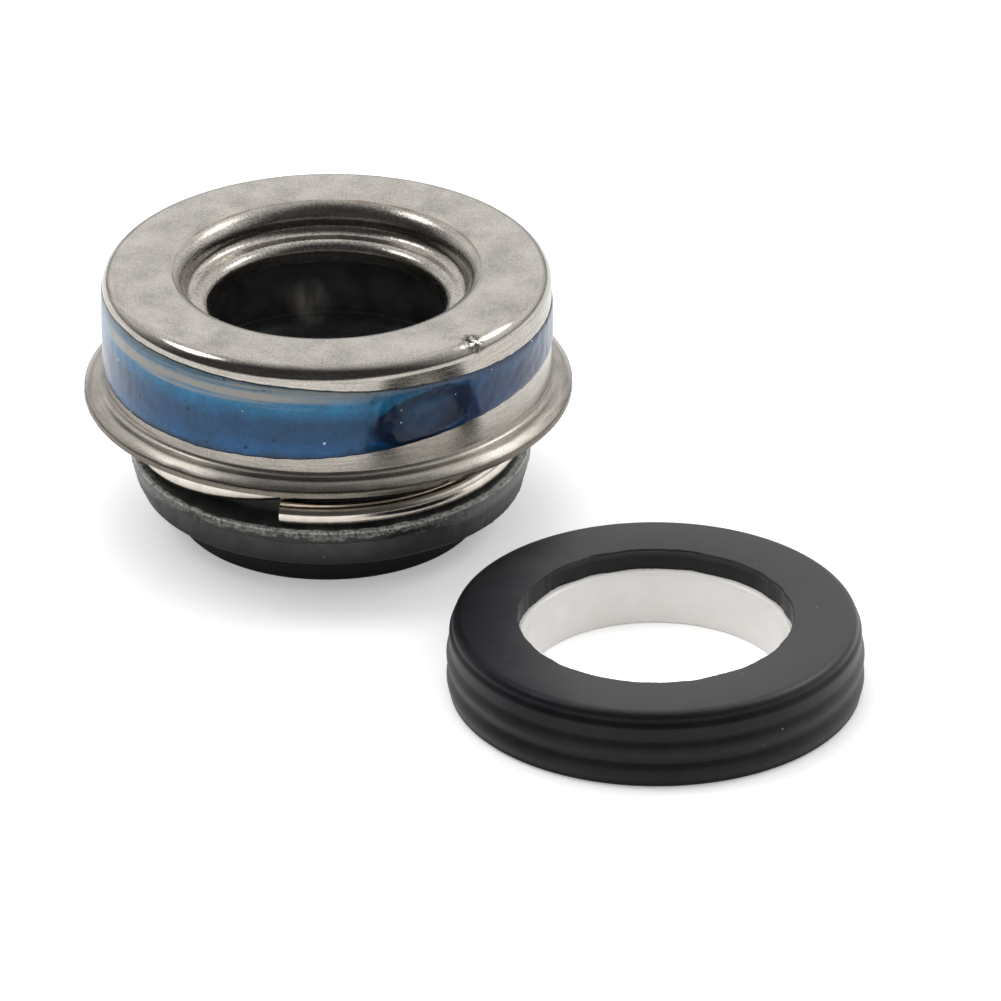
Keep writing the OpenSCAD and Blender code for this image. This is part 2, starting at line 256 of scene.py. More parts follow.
def caseSection(s):
    top, flangeR, t = caseHigh.z, caseHigh.x, s["sheet"]
    low = top - s["height"]
    mouthR = neckRadius + s["neckRound"] + s["ledgeFlat"] + s["ledgeFillet"]
    ledge = top - s["mouthDepth"]
    filletAt = (s["wallR"] + s["fillet"], low + t + s["fillet"])
    slopeR = filletAt[0] + s["flangeFlat"]
    edgeAt = (s["wallR"] - s["edgeRound"], top - s["edgeRound"])
    mouthAt = (mouthR + s["mouthRound"], top - s["mouthRound"])
    cornerAt = (mouthR - s["ledgeFillet"], ledge + s["ledgeFillet"])
    neckAt = (neckRadius + s["neckRound"], ledge - s["neckRound"])
    end = neckAt[1] - s["neckLength"]
    rim = low + t - s["flangeDrop"]
    n = 0.05
    outside = [(flangeR - n, caseLow.z), (flangeR, caseLow.z + n), (flangeR, rim - n), (flangeR - n, rim + 0.6 * n)]
    outside += [(slopeR + 0.12, low + t - 0.08), (slopeR, low + t - 0.02), (slopeR - 0.1, low + t)]
    outside += arc(*filletAt, s["fillet"], 270, 180, 8)
    outside += arc(*edgeAt, s["edgeRound"], 0, 90, 16)
    outside += arc(*mouthAt, s["mouthRound"], 90, 180, 14)
    outside += arc(*cornerAt, s["ledgeFillet"], 360, 270, 8)
    outside += arc(*neckAt, s["neckRound"], 90, 180, 12)
    outside += [(neckRadius, end), (neckRadius + t, end)]
    back = arc(*neckAt, s["neckRound"] - t, 180, 90, 6)
    back += arc(*cornerAt, s["ledgeFillet"] + t, 270, 360, 10)
    back += arc(*mouthAt, s["mouthRound"] - t, 180, 90, 8)
    back += arc(*edgeAt, s["edgeRound"] - t, 90, 0, 12)
    back += arc(*filletAt, s["fillet"] + t, 180, 270, 10)
    return outside + back + [(slopeR, low)]


def sheared(r, z, turn):  # the flange's edge is a little torn by the shears
    if r > caseHigh.x - 0.02:
        r -= abs(wobble(turn, 40, z * 4, caseShape["burr"]))
    return r, z


steel = drawnSteel(steelLook)
shell = revolve("caseShell", caseSection(caseShape), steel, shape=sheared)
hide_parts("case")
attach(shell, "case")
print("case made")


# sealant band: its edges are given as degrees from the front, low and high, in mm
filmShape = {
    "thick": 0.09, "lump": 0.03, "edgeWave": 0.05, "rows": 14,
    "edges": [(-180, 10.9, 15.6), (-110, 10.7, 15.9), (-64, 10.6, 16.1), (-33, 10.6, 15.95), (-6, 10.83, 15.72),
              (9, 11.1, 15.44), (33, 11.65, 15.2), (50, 12.0, 15.0), (75, 12.25, 14.85), (110, 12.1, 14.9),
              (150, 11.3, 15.3), (180, 10.9, 15.6)],
}
# its marks: round the wall from the front and up from the sealing face, in mm
filmLook = {
    "edge": "#0c3550", "low": "#0d4f80", "middle": "#0e4269", "teal": "#126b95", "thin": "#4b5d67", "right": "#1f2f55",
    "streakAt": 15.0, "streakHalf": 0.55, "streakFrom": -16.8, "streakTo": 0.5, "scraped": "#8f887c",
    "poolAt": (6.5, 13.2), "poolHalf": (3.6, 1.55), "poolTilt": 0.2, "poolDark": "#08152f",
    "rightFrom": (4.0, 10.0), "backFrom": (24.0, 42.0), "pit": "#08131d", "speck": "#c3d0d8",
}


def driedSealant(s):
    # dried sealant on steel: a thin glossy blue skin that the metal shines through, with pits and specks
    made, tree, shader, coords = newMaterial("driedSealant", Metallic=0.7, Coat_Weight=0.5, Coat_Roughness=0.1, Coat_IOR=1.5)
    place = addNode(tree, "SeparateXYZ", links={"Vector": coords}).outputs
    turn = frontTurn(tree, place)
    along = addNode(tree, "Math", {1: caseShape["wallR"]}, {0: turn}, operation="MULTIPLY").outputs[0]
    up = addNode(tree, "Math", {1: 1 / mm}, {0: place["Z"]}, operation="MULTIPLY").outputs[0]
    patch = addNode(tree, "TexNoise", {"Scale": 1 / (2.4 * mm), "Detail": 6.0, "Roughness": 0.6},
                    {"Vector": coords}).outputs["Fac"]
    # colour from the lower edge to the upper one
    share = addNode(tree, "Attribute", attribute_name="filmShare").outputs["Fac"]
    drift = addNode(tree, "Math", {1: 0.16, 2: -0.08}, {0: patch}, operation="MULTIPLY_ADD").outputs[0]
    level = addNode(tree, "Math", links={0: share, 1: drift}, operation="ADD").outputs[0]
    tint = addNode(tree, "ValToRGB", links={"Fac": level}, stops=[
        (0.0, linear(s["edge"])), (0.1, linear(s["low"])), (0.3, linear(s["middle"])), (0.48, linear(s["middle"])),
        (0.7, linear(s["teal"])), (0.85, linear(s["teal"])), (0.97, linear(s["thin"]))]).outputs["Color"]
    side = addNode(tree, "MapRange", {"From Min": s["rightFrom"][0], "From Max": s["rightFrom"][1], "To Max": 0.75},
                   {"Value": along}).outputs["Result"]
    behind = addNode(tree, "MapRange", {"From Min": s["backFrom"][1], "From Max": s["backFrom"][0]}, {"Value": along},
                     interpolation_type="SMOOTHSTEP").outputs["Result"]
    side = addNode(tree, "Math", links={0: side, 1: behind}, operation="MULTIPLY").outputs[0]
    tint = addNode(tree, "Mix", {"B": linear(s["right"])}, {"Factor": side, "A": tint}, data_type="RGBA").outputs["Result"]
    mottle = addNode(tree, "TexNoise", {"Scale": 1 / (0.22 * mm), "Detail": 3.0, "Roughness": 0.65},
                     {"Vector": coords}).outputs["Fac"]
    mottle = addNode(tree, "ValToRGB", links={"Fac": mottle}, stops=[(0.32, grey(0.7)), (0.62, grey(1.0))]).outputs["Color"]
    cloud = addNode(tree, "ValToRGB", links={"Fac": patch}, stops=[(0.36, grey(0.72)), (0.62, grey(1.12))]).outputs["Color"]
    mottle = addNode(tree, "Mix", {"Factor": 1.0}, {"A": mottle, "B": cloud}, data_type="RGBA",
                     blend_type="MULTIPLY").outputs["Result"]
    tint = addNode(tree, "Mix", {"Factor": 1.0}, {"A": tint, "B": mottle}, data_type="RGBA",
                   blend_type="MULTIPLY").outputs["Result"]
    # pool of thicker sealant, dark round its edge
    aside = addNode(tree, "Math", {1: s["poolAt"][0]}, {0: along}, operation="SUBTRACT").outputs[0]
    above = addNode(tree, "Math", {1: s["poolAt"][1]}, {0: up}, operation="SUBTRACT").outputs[0]
    oblong = addNode(tree, "CombineXYZ", links={"X": aside, "Y": above}).outputs["Vector"]
    laid = addNode(tree, "Mapping", {"Rotation": (0, 0, -s["poolTilt"])}, {"Vector": oblong}).outputs["Vector"]
    laid = addNode(tree, "Mapping", {"Scale": (1 / s["poolHalf"][0], 1 / s["poolHalf"][1], 1)},
                   {"Vector": laid}).outputs["Vector"]
    reach = addNode(tree, "VectorMath", links={0: laid}, operation="LENGTH").outputs["Value"]
    shaken = addNode(tree, "Math", {1: 0.7}, {0: patch, 2: reach}, operation="MULTIPLY_ADD").outputs[0]
    pool = addNode(tree, "Math", {1: 0.5}, {0: shaken}, operation="MULTIPLY").outputs[0]
    pool = addNode(tree, "ValToRGB", links={"Fac": pool}, stops=[
        (0.0, grey(0.25)), (0.36, grey(0.3)), (0.5, grey(0.8)), (0.65, grey(0.88)), (0.7, grey(0.0))]).outputs["Color"]
    tint = addNode(tree, "Mix", {"B": linear(s["poolDark"])}, {"Factor": pool, "A": tint}, data_type="RGBA").outputs["Result"]
    # pits, mostly to the left, each cell with its own size or none; the bump dents them and their near-black colour is
    # painted shade
    left = addNode(tree, "MapRange", {"From Min": 3 * mm, "From Max": -3 * mm, "To Min": 0.4},
                   {"Value": place["X"]}).outputs["Result"]
    inside = spotDepth(tree, coords, 0.6, 0.5, 0.26, left)
    pit = addNode(tree, "MapRange", {"From Max": 0.03, "To Max": 0.9}, {"Value": inside}).outputs["Result"]
    tint = addNode(tree, "Mix", {"B": linear(s["pit"])}, {"Factor": pit, "A": tint}, data_type="RGBA").outputs["Result"]
    moved = addNode(tree, "Mapping", {"Location": (0.7, 0.3, 0.2)}, {"Vector": coords}).outputs["Vector"]
    inside = spotDepth(tree, moved, 0.8, 0.45, 0.12)
    speck = addNode(tree, "MapRange", {"From Max": 0.03, "To Max": 0.8}, {"Value": inside}).outputs["Result"]
    tint = addNode(tree, "Mix", {"B": linear(s["speck"])}, {"Factor": speck, "A": tint}, data_type="RGBA").outputs["Result"]
    # streak where the film was scraped off, combed along the wall
    drawn = addNode(tree, "Mapping", {"Scale": (0.04, 0.04, 1.0)}, {"Vector": coords}).outputs["Vector"]
    comb = addNode(tree, "TexNoise", {"Scale": 1 / (0.3 * mm), "Detail": 4.0}, {"Vector": drawn}).outputs["Fac"]
    off = addNode(tree, "Math", {1: s["streakAt"]}, {0: up}, operation="SUBTRACT").outputs[0]
    off = addNode(tree, "Math", links={0: off}, operation="ABSOLUTE").outputs[0]
    off = addNode(tree, "Math", {1: 1.3}, {0: comb, 2: off}, operation="MULTIPLY_ADD").outputs[0]
    near = addNode(tree, "MapRange", {"From Min": s["streakHalf"] + 0.85, "From Max": s["streakHalf"] + 0.2},
                   {"Value": off}, interpolation_type="SMOOTHSTEP").outputs["Result"]
    begin = addNode(tree, "MapRange", {"From Min": s["streakFrom"] - 2, "From Max": s["streakFrom"] + 1},
                    {"Value": along}).outputs["Result"]
    end = addNode(tree, "MapRange", {"From Min": s["streakTo"] + 4, "From Max": s["streakTo"] - 4},
                  {"Value": along}).outputs["Result"]
    window = addNode(tree, "Math", links={0: begin, 1: end}, operation="MULTIPLY").outputs[0]
    scraped = addNode(tree, "Math", links={0: window, 1: near}, operation="MULTIPLY").outputs[0]
    scraped = addNode(tree, "Math", {1: 0.85}, {0: scraped}, operation="MULTIPLY").outputs[0]
    final = addNode(tree, "Mix", {"B": linear(s["scraped"])}, {"Factor": scraped, "A": tint}, data_type="RGBA").outputs["Result"]
    tree.links.new(final, shader.inputs["Base Color"])
    rough = addNode(tree, "MapRange", {"To Min": 0.2, "To Max": 0.42}, {"Value": patch}).outputs["Result"]
    tree.links.new(rough, shader.inputs["Roughness"])
    skin = addNode(tree, "TexNoise", {"Scale": 1 / (0.6 * mm), "Detail": 4.0}, {"Vector": coords}).outputs["Fac"]
    dent = addNode(tree, "Math", {1: -2.0}, {0: pit, 2: skin}, operation="MULTIPLY_ADD").outputs[0]
    bump = addNode(tree, "Bump", {"Strength": 0.25, "Distance": 0.04 * mm}, {"Height": dent}).outputs["Normal"]
    tree.links.new(bump, shader.inputs["Normal"])
    return made


def wallReach(z):  # radius of the case's wall and rounded edge at a height
    over = min(max(z - (caseHigh.z - caseShape["edgeRound"]), 0), caseShape["edgeRound"])
    return caseShape["wallR"] - caseShape["edgeRound"] + math.sqrt(caseShape["edgeRound"] ** 2 - over ** 2)


# here a point is 1 outside or 0 inside, and its share of the band's height
def filmWave(out, share, turn):
    s, a = filmShape, fromFront(turn)
    for first, second in zip(s["edges"], s["edges"][1:]):
        if first[0] <= a <= second[0]:
            t = (a - first[0]) / (second[0] - first[0])
            low, high = [first[i] + (second[i] - first[i]) * t for i in (1, 2)]
    low += wobble(turn, 22, 3.0, s["edgeWave"])
    high += wobble(turn, 22, 5.0, s["edgeWave"])
    z = low + (high - low) * share
    taper = min(1, 12 * min(share, 1 - share)) ** 0.5
    thick = 0.02 + (s["thick"] - 0.02) * taper + wobble(turn, 26, z * 1.4, s["lump"]) * taper
    return wallReach(z) + (thick if out else 0.002), z


filmShares = [0.0, 0.006, 0.02, 0.05]
filmShares += [0.09 + 0.82 * i / filmShape["rows"] for i in range(filmShape["rows"] + 1)]
filmShares += [0.95, 0.98, 0.994, 1.0]
filmSection = [(1, v) for v in filmShares] + [(0, 1.0), (0, 0.0)]
band = revolve("sealantBand", filmSection, driedSealant(filmLook), segments=400, shape=filmWave)
shares = band.data.attributes.new("filmShare", "FLOAT", "POINT")
shares.data.foreach_set("value", [filmSection[i % len(filmSection)][1] for i in range(len(band.data.vertices))])
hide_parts("sealant_film")
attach(band, "case")
print("sealant made")


# spring
springShape = {
    "wire": 1.6, "meanR": 11.4, "endAngle": -104.0, "lowerFlat": 288.0, "climb": 250.0, "upperFlat": 300.0,
    "stepsATurn": 120, "sides": 32,
}
wireLook = {"dark": "#d5cabe", "pale": "#e9e1d7", "rough": 0.14}


def brightWire(s):
    # hard-drawn stainless wire: mirror bright and warm, with die lines along its length
    made, tree, shader, coords = newMaterial("brightSpringWire", Metallic=1.0, Roughness=s["rough"])
    cloud = addNode(tree, "TexNoise", {"Scale": 1 / (0.8 * mm), "Detail": 3.0}, {"Vector": coords}).outputs["Fac"]
    tint = addNode(tree, "ValToRGB", links={"Fac": cloud},
                   stops=[(0.3, linear(s["dark"])), (0.7, linear(s["pale"]))]).outputs["Color"]
    tree.links.new(tint, shader.inputs["Base Color"])
    around = addNode(tree, "Attribute", attribute_name="wireRound").outputs["Fac"]
    lines = addNode(tree, "TexNoise", {"Scale": 40.0, "Detail": 2.0}, {"W": around}, noise_dimensions="1D").outputs["Fac"]
    bump = addNode(tree, "Bump", {"Strength": 0.1, "Distance": 0.02 * mm}, {"Height": lines}).outputs["Normal"]
    tree.links.new(bump, shader.inputs["Normal"])
    return made


def springPath(s):
    low = springLow.z + s["wire"] / 2
    travel = springHigh.z - springLow.z - s["wire"]
    whole = s["lowerFlat"] + s["climb"] + s["upperFlat"]
    steps = int(whole / 360 * s["stepsATurn"])
    points = []
    for i in range(steps + 1):
        a = whole * i / steps
        t = min(max((a - s["lowerFlat"]) / s["climb"], 0), 1)
        turn = math.radians(s["endAngle"] + a)
        points.append((s["meanR"] * math.cos(turn) * mm, s["meanR"] * math.sin(turn) * mm,
                       (low + travel * t * t * (3 - 2 * t)) * mm))
    return points


# geometry nodes: a round wire along the path
def wireTree(s, finish):
    tree = bpy.data.node_groups.new("springWireTree", "GeometryNodeTree")
    face = tree.interface
    face.new_socket("Path", in_out="INPUT", socket_type="NodeSocketGeometry")
    radius = face.new_socket("Wire radius", in_out="INPUT", socket_type="NodeSocketFloat")
    sides = face.new_socket("Sides", in_out="INPUT", socket_type="NodeSocketInt")
    skin = face.new_socket("Finish", in_out="INPUT", socket_type="NodeSocketMaterial")
    face.new_socket("Wire", in_out="OUTPUT", socket_type="NodeSocketGeometry")
    entry = addNode(tree, "NodeGroupInput").outputs
    path = addNode(tree, "GeometryNodeMeshToCurve", links={"Mesh": entry["Path"]})
    ring = addNode(tree, "GeometryNodeCurvePrimitiveCircle", links={"Radius": entry["Wire radius"], "Resolution": entry["Sides"]})
    share = addNode(tree, "GeometryNodeSplineParameter")
    named = addNode(tree, "GeometryNodeStoreNamedAttribute", {"Name": "wireRound"},
                    {"Geometry": ring.outputs["Curve"], "Value": share.outputs["Factor"]}, data_type="FLOAT", domain="POINT")
    tube = addNode(tree, "GeometryNodeCurveToMesh", {"Fill Caps": True},
                   {"Curve": path.outputs["Curve"], "Profile Curve": named.outputs["Geometry"]})
    real = addNode(tree, "GeometryNodeRealizeInstances", links={"Geometry": tube.outputs["Mesh"]})
    done = addNode(tree, "GeometryNodeSetMaterial", links={"Geometry": real.outputs["Geometry"], "Material": entry["Finish"]})
    addNode(tree, "NodeGroupOutput", links={"Wire": done.outputs["Geometry"]})
    return tree, {radius.identifier: s["wire"] / 2 * mm, sides.identifier: s["sides"], skin.identifier: finish}


def makeSpring(s, finish):
    points = springPath(s)
    line = bpy.data.meshes.new("springLine")
    line.from_pydata(points, [(i, i + 1) for i in range(len(points) - 1)], [])
    made = bpy.data.objects.new("springWire", line)
    bpy.context.scene.collection.objects.link(made)
    tree, values = wireTree(s, finish)
    modifier = made.modifiers.new("wire", "NODES")
    modifier.node_group = tree
    for key, value in values.items():
        modifier[key] = value
    graph = bpy.context.evaluated_depsgraph_get()
    solid = bpy.data.meshes.new_from_object(made.evaluated_get(graph))
    made.modifiers.remove(modifier)
    made.data = solid
    solid.polygons.foreach_set("use_smooth", [True] * len(solid.polygons))
    solid.set_sharp_from_angle(angle=math.radians(40))
    return made


spring = makeSpring(springShape, brightWire(wireLook))
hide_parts("spring")
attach(spring, "face")
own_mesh(spring)
print("spring made")


# bellows: degrees are counted from the front, positive to the right
bellowsShape = {
    "cupR": 11.97, "cupInR": 11.3, "wallR": 10.1, "wall": 0.6, "rimT": 0.8, "tailT": 1.1, "tailR": 12.4,
    "foldBend": 0.5, "foldR": 0.8, "foldStart": 1.7, "cornerDrop": 0.9, "rimRound": 0.12, "flash": 0.11, "aside": 0.1,
    "flashFrom": -52, "flashTo": 32, "flashFade": 14, "cupRound": 0.3, "rootRound": 0.25, "tailInR": 10.0,
    "fillCorner": (0.45, 0.4), "fillFoot": (0.3, 0.3), "fillSide": 0.16,
}
rubberLook = {
    "dark": "#292a2c", "pale": "#434446", "rough": 0.42, "rimRough": 0.3, "bloom": 1.6, "dust": "#a3a4a2",
    "rim": "#5a5c5b", "torn": ("#33362f", "#5b5e56", "#a6a9a1"), "line": "#c9cbc5", "foot": "#1b1b1c",
    "poresFrom": (0.1, 0.3), "poresTo": (0.5, 1.1), "patchAt": (-1.35, 9.5, 9.9), "patchSize": 1.7, "patch": "#8f8981",
}


# rubber with bloom, mould grain and dust; the rest of the look is added by the caller
def rubberBase(name, s):
    made, tree, shader, coords = newMaterial(name, Roughness=s["rough"], IOR=1.5)
    bloom = addNode(tree, "TexNoise", {"Scale": 1 / (s["bloom"] * mm), "Detail": 6.0}, {"Vector": coords}).outputs["Fac"]
    tint = addNode(tree, "ValToRGB", links={"Fac": bloom},
                   stops=[(0.35, linear(s["dark"])), (0.7, linear(s["pale"]))]).outputs["Color"]
    grain = addNode(tree, "TexNoise", {"Scale": 1 / (0.15 * mm), "Detail": 3.0}, {"Vector": coords}).outputs["Fac"]
    bump = addNode(tree, "Bump", {"Strength": 0.25, "Distance": 0.03 * mm}, {"Height": grain}).outputs["Normal"]
    tree.links.new(bump, shader.inputs["Normal"])
    inside = spotDepth(tree, coords, 1.2, 0.6, 0.07)
    dust = addNode(tree, "MapRange", {"From Max": 0.03, "To Max": 0.6}, {"Value": inside}).outputs["Result"]
    return made, tree, shader, coords, tint, dust


def bellowsRubber(s):
    # moulded nitrile rubber: dull black with bloom; the flash on its rim is torn, greyer and pitted
    made, tree, shader, coords, tint, dust = rubberBase("mouldedRubber", s)
    place = addNode(tree, "SeparateXYZ", links={"Vector": coords}).outputs
    reach = axisReach(tree, place)
    turn = frontTurn(tree, place)
    seat, edgeR = springLow.z, bellowsHigh.x
    outer = addNode(tree, "MapRange", {"From Min": (edgeR - 0.45) * mm, "From Max": (edgeR - 0.3) * mm},
                    {"Value": reach}).outputs["Result"]
    above = addNode(tree, "MapRange", {"From Min": (seat - 1.2) * mm, "From Max": (seat - 0.7) * mm},
                    {"Value": place["Z"]}).outputs["Result"]
    rim = addNode(tree, "Math", links={0: outer, 1: above}, operation="MULTIPLY").outputs[0]
    tint = addNode(tree, "Mix", {"B": linear(s["rim"])}, {"Factor": rim, "A": tint}, data_type="RGBA").outputs["Result"]
    # torn flash along the front of the rim
    first, last = [math.radians(bellowsShape[key]) for key in ("flashFrom", "flashTo")]
    begin = addNode(tree, "MapRange", {"From Min": first - 0.3, "From Max": first + 0.1}, {"Value": turn}).outputs["Result"]
    end = addNode(tree, "MapRange", {"From Min": last + 0.25, "From Max": last - 0.15}, {"Value": turn}).outputs["Result"]
    facing = addNode(tree, "Math", links={0: begin, 1: end}, operation="MULTIPLY").outputs[0]
    front = addNode(tree, "Math", links={0: facing, 1: rim}, operation="MULTIPLY").outputs[0]
    upper = addNode(tree, "MapRange", {"From Min": (seat - 0.7) * mm, "From Max": (seat - 0.2) * mm, "To Min": 0.6},
                    {"Value": place["Z"]}).outputs["Result"]
    front = addNode(tree, "Math", links={0: front, 1: upper}, operation="MULTIPLY").outputs[0]
    shreds = addNode(tree, "TexNoise", {"Scale": 1 / (0.22 * mm), "Detail": 4.0, "Roughness": 0.7},
                     {"Vector": coords}).outputs["Fac"]
    torn = addNode(tree, "ValToRGB", links={"Fac": shreds}, stops=[
        (0.38, linear(s["torn"][0])), (0.52, linear(s["torn"][1])), (0.72, linear(s["torn"][2]))]).outputs["Color"]
    tint = addNode(tree, "Mix", links={"Factor": front, "A": tint, "B": torn}, data_type="RGBA").outputs["Result"]
    # open pores with white crumbs, right of the front; the holes are painted near black as shade inside them
    begin = addNode(tree, "MapRange", {"From Min": s["poresFrom"][0], "From Max": s["poresFrom"][1]},
                    {"Value": turn}).outputs["Result"]
    end = addNode(tree, "MapRange", {"From Min": s["poresTo"][1], "From Max": s["poresTo"][0]}, {"Value": turn}).outputs["Result"]
    porous = addNode(tree, "Math", links={0: begin, 1: end}, operation="MULTIPLY").outputs[0]
    porous = addNode(tree, "Math", links={0: porous, 1: rim}, operation="MULTIPLY").outputs[0]
    within = spotDepth(tree, coords, 0.5, 0.0, 0.42, porous)
    crumb = addNode(tree, "MapRange", {"From Min": -0.1, "From Max": -0.02, "To Max": 0.6}, {"Value": within}).outputs["Result"]
    crumb = addNode(tree, "Math", links={0: crumb, 1: porous}, operation="MULTIPLY").outputs[0]
    tint = addNode(tree, "Mix", {"B": linear(s["line"])}, {"Factor": crumb, "A": tint}, data_type="RGBA").outputs["Result"]
    hole = addNode(tree, "MapRange", {"From Min": -0.01, "From Max": 0.04, "To Max": 0.95}, {"Value": within}).outputs["Result"]
    tint = addNode(tree, "Mix", {"B": linear("#0b0b0a")}, {"Factor": hole, "A": tint}, data_type="RGBA").outputs["Result"]
    # pale line where the rim's top edge catches the light
    line = addNode(tree, "MapRange", {"From Min": (seat - 0.16) * mm, "From Max": (seat - 0.08) * mm},
                   {"Value": place["Z"]}).outputs["Result"]
    line = addNode(tree, "Math", links={0: line, 1: outer}, operation="MULTIPLY").outputs[0]
    broken = addNode(tree, "MapRange", {"From Min": 0.4, "From Max": 0.58, "To Min": 0.25, "To Max": 0.95},
                     {"Value": shreds}).outputs["Result"]
    line = addNode(tree, "Math", links={0: line, 1: broken}, operation="MULTIPLY").outputs[0]
    tint = addNode(tree, "Mix", {"B": linear(s["line"])}, {"Factor": line, "A": tint}, data_type="RGBA").outputs["Result"]
    # painted shade: the cup is darker towards its lower edge near the floor, where its sheen is also turned down, and a
    # jagged dark line of painted shade runs under the rim
    depth = addNode(tree, "MapRange", {"From Min": (seat - 0.9) * mm, "From Max": bellowsLow.z * mm, "To Max": 0.9},
                    {"Value": place["Z"]}).outputs["Result"]
    tint = addNode(tree, "Mix", {"B": linear(s["foot"])}, {"Factor": depth, "A": tint}, data_type="RGBA").outputs["Result"]
    dull = addNode(tree, "MapRange", {"To Min": 0.5, "To Max": 0.15}, {"Value": depth}).outputs["Result"]
    tree.links.new(dull, shader.inputs["Specular IOR Level"])
    # painted shadow under the rim's overhang, a jagged dark line on the front of the cup
    jags = addNode(tree, "TexNoise", {"Scale": 1 / (1.1 * mm), "Detail": 5.0, "Roughness": 0.65},
                   {"Vector": coords}).outputs["Fac"]
    jagged = addNode(tree, "Math", {1: 1.2 * mm}, {0: jags, 2: place["Z"]}, operation="MULTIPLY_ADD").outputs[0]
    under = addNode(tree, "MapRange", {"From Min": (seat + 0.22) * mm, "From Max": (seat + 0.14) * mm, "To Max": 0.95},
                    {"Value": jagged}).outputs["Result"]
    under = addNode(tree, "Math", links={0: under, 1: facing}, operation="MULTIPLY").outputs[0]
    shadeUnderRim = addNode(tree, "Math", links={0: under, 1: outer}, operation="MULTIPLY").outputs[0]
    tint = addNode(tree, "Mix", {"B": linear("#060606")}, {"Factor": shadeUnderRim, "A": tint}, data_type="RGBA").outputs["Result"]
    # painted patch of light on the inner wall, seen through the mouth, streaked upright
    away = addNode(tree, "VectorMath", {1: [v * mm for v in s["patchAt"]]}, {0: coords}, operation="SUBTRACT").outputs["Vector"]
    away = addNode(tree, "VectorMath", {1: (1.0, 1.0, 0.9)}, {0: away}, operation="MULTIPLY").outputs["Vector"]
    away = addNode(tree, "VectorMath", links={0: away}, operation="LENGTH").outputs["Value"]
    litPatch = addNode(tree, "MapRange", {"From Min": s["patchSize"] * mm, "From Max": 0.3 * mm}, {"Value": away}).outputs["Result"]
    streaks = addNode(tree, "Mapping", {"Scale": (1.0, 1.0, 0.35)}, {"Vector": coords}).outputs["Vector"]
    streaks = addNode(tree, "TexNoise", {"Scale": 1 / (0.7 * mm), "Detail": 3.0}, {"Vector": streaks}).outputs["Fac"]
    streaks = addNode(tree, "MapRange", {"From Min": 0.4, "From Max": 0.6, "To Min": 0.3}, {"Value": streaks}).outputs["Result"]
    litPatch = addNode(tree, "Math", links={0: litPatch, 1: streaks}, operation="MULTIPLY").outputs[0]
    tint = addNode(tree, "Mix", {"B": linear(s["patch"])}, {"Factor": litPatch, "A": tint}, data_type="RGBA").outputs["Result"]
    tint = addNode(tree, "Mix", {"B": linear(s["dust"])}, {"Factor": dust, "A": tint}, data_type="RGBA").outputs["Result"]
    tree.links.new(tint, shader.inputs["Base Color"])
    gloss = addNode(tree, "MapRange", {"To Min": s["rough"], "To Max": s["rimRough"]}, {"Value": rim}).outputs["Result"]
    tree.links.new(gloss, shader.inputs["Roughness"])
    return made


def bellowsSection(s):
    rimR, seat, top = bellowsHigh.x, springLow.z, bellowsHigh.z
    inR, outR = s["wallR"] - s["wall"], s["wallR"]
    half = s["wall"] / 2
    foldAt = outR - half - s["foldBend"]
    z1 = seat + s["foldStart"]
    z2 = z1 + s["foldBend"] + s["foldR"]
    z3 = z2 + s["foldR"] + s["foldBend"]
    tail = top - s["tailT"]
    corner = caseHigh.z - s["cornerDrop"]
    rimLow = seat - s["rimT"]
    n, foot, root = s["rimRound"], s["cupRound"], s["rootRound"]
    outer = [(s["cupInR"], bellowsLow.z)]
    outer += arc(s["cupR"] - foot, bellowsLow.z + foot, foot, -90, 0, 6)
    outer += [(s["cupR"], rimLow - 0.6), (s["cupR"], rimLow - 0.05), (rimR - n, rimLow)]
    outer += [(rimR, rimLow + n), (rimR, rimLow + 0.35), (rimR, seat - 2 * n), (rimR - n * 0.6, seat - n * 0.4),
              (rimR - 2 * n, seat), (outR + root, seat)]
    outer += arc(outR + root, seat + root, root, 270, 180, 4)
    outer += arc(foldAt, z1, s["foldBend"] + half, 0, 90, 8)
    outer += arc(foldAt, z2, s["foldR"] - half, 270, 90, 14)
    outer += arc(foldAt, z3, s["foldBend"] + half, 270, 360, 8)
    outer += [(outR, tail), (s["tailR"], tail), (s["tailR"], top), (s["tailInR"], top), (s["tailInR"], corner), (inR, corner)]
    inner = arc(foldAt, z3, s["foldBend"] - half, 360, 270, 6)
    inner += arc(foldAt, z2, s["foldR"] + half, 90, 270, 16)
    inner += arc(foldAt, z1, s["foldBend"] - half, 90, 0, 6)
    inner += [(inR, rimLow), (s["cupInR"], rimLow)]
    return outer + inner


def flashWave(r, z, turn):
    # ragged flash along the rim, set a little to one side; away from the front the rim's underside is filled in
    s, seat, a = bellowsShape, springLow.z, fromFront(turn)
    left = min(max((s["flashFrom"] - a) / s["flashFade"], 0), 1)
    right = min(max((a - s["flashTo"]) / s["flashFade"], 0), 1)
    if a < -150 or a > 150:
        left = right = 1
    filled = max(left, right)
    if z < seat + 0.01 and r > s["cupR"] - 0.35:
        if abs(r - s["cupR"]) < 0.01 and z > seat - 1.5:
            low = seat - s["rimT"] - z  # 0.05 at the corner, 0.6 further down
            out, down = s["fillCorner"] if low < 0.3 else s["fillFoot"]
            r += out * filled
            z -= down * filled
        elif r < s["cupR"] + 0.1:
            r += s["fillSide"] * right
        if r > s["cupR"] + 0.1:
            rough = abs(wobble(turn, 26, 1.0, 1.0)) + 0.6 * abs(wobble(turn, 70, z * 3, 1.0))
            r -= s["flash"] * rough * (1 - 0.75 * filled)
            z += wobble(turn, 30, r * 3, 0.1) + wobble(turn, 9, 4.0, 0.06)
        r += s["aside"] * math.cos(turn)
    return r, z


bellows = revolve("bellowsRubber", bellowsSection(bellowsShape), bellowsRubber(rubberLook), segments=480, shape=flashWave)
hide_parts("bellows")
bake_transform(bellows)
print("bellows made")


# sealing ring and clamp ring
carbonShape = {"noseR": 9.57, "noseH": 2.36, "bodyR": 11.3, "bevel": 0.15}
carbonLook = {"dark": "#0d0d0e", "pale": "#19191b", "rough": (0.42, 0.58)}


